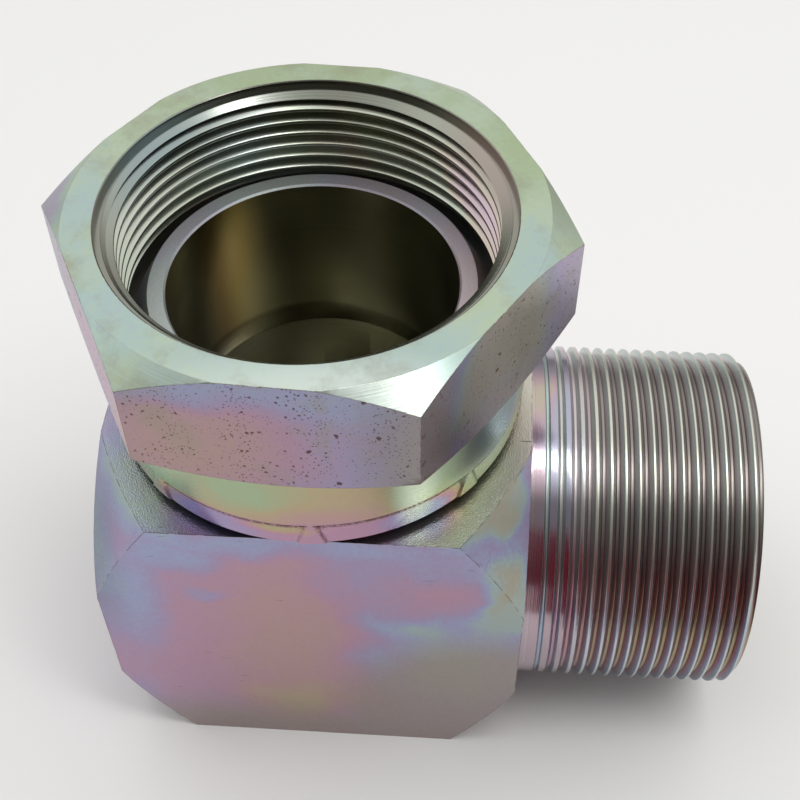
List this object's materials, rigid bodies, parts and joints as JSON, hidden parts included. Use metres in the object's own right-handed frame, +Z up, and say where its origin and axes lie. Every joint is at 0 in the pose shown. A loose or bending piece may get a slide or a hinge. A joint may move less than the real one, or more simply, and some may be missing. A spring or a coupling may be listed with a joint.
{
  "type": "pipe adapter elbow",
  "caption": "90 degree hydraulic adapter elbow: block with a threaded male stub and, at right angles, a crimped swivel nut over a coned tail.",
  "frame": {"origin": "on the block's bottom face, below the swivel axis", "axes": "+Z up along the swivel axis and out of the nut's mouth, +X along the male stub and out of it, +Y to the left of +X seen from above"},
  "size_m": [0.1137, 0.0718, 0.1022],
  "materials": {
    "block_plating": "machined steel, zinc plated, iridescent passivation",
    "tail_plating": "turned steel, zinc plated, iridescent passivation",
    "nut_plating": "machined and crimped steel, zinc plated, iridescent passivation"
  },
  "bodies": {
    "body": {"elbow_block": "block_plating", "swivel_tail": "tail_plating"},
    "nut": {"swivel_nut": "nut_plating"}
  },
  "joints": [
    {"name": "nut_spin", "type": "hinge", "parent": "body", "child": "nut", "pos_m": [0, 0, 0.0837], "axis": [0, 0, 1], "continuous": true}
  ]
}
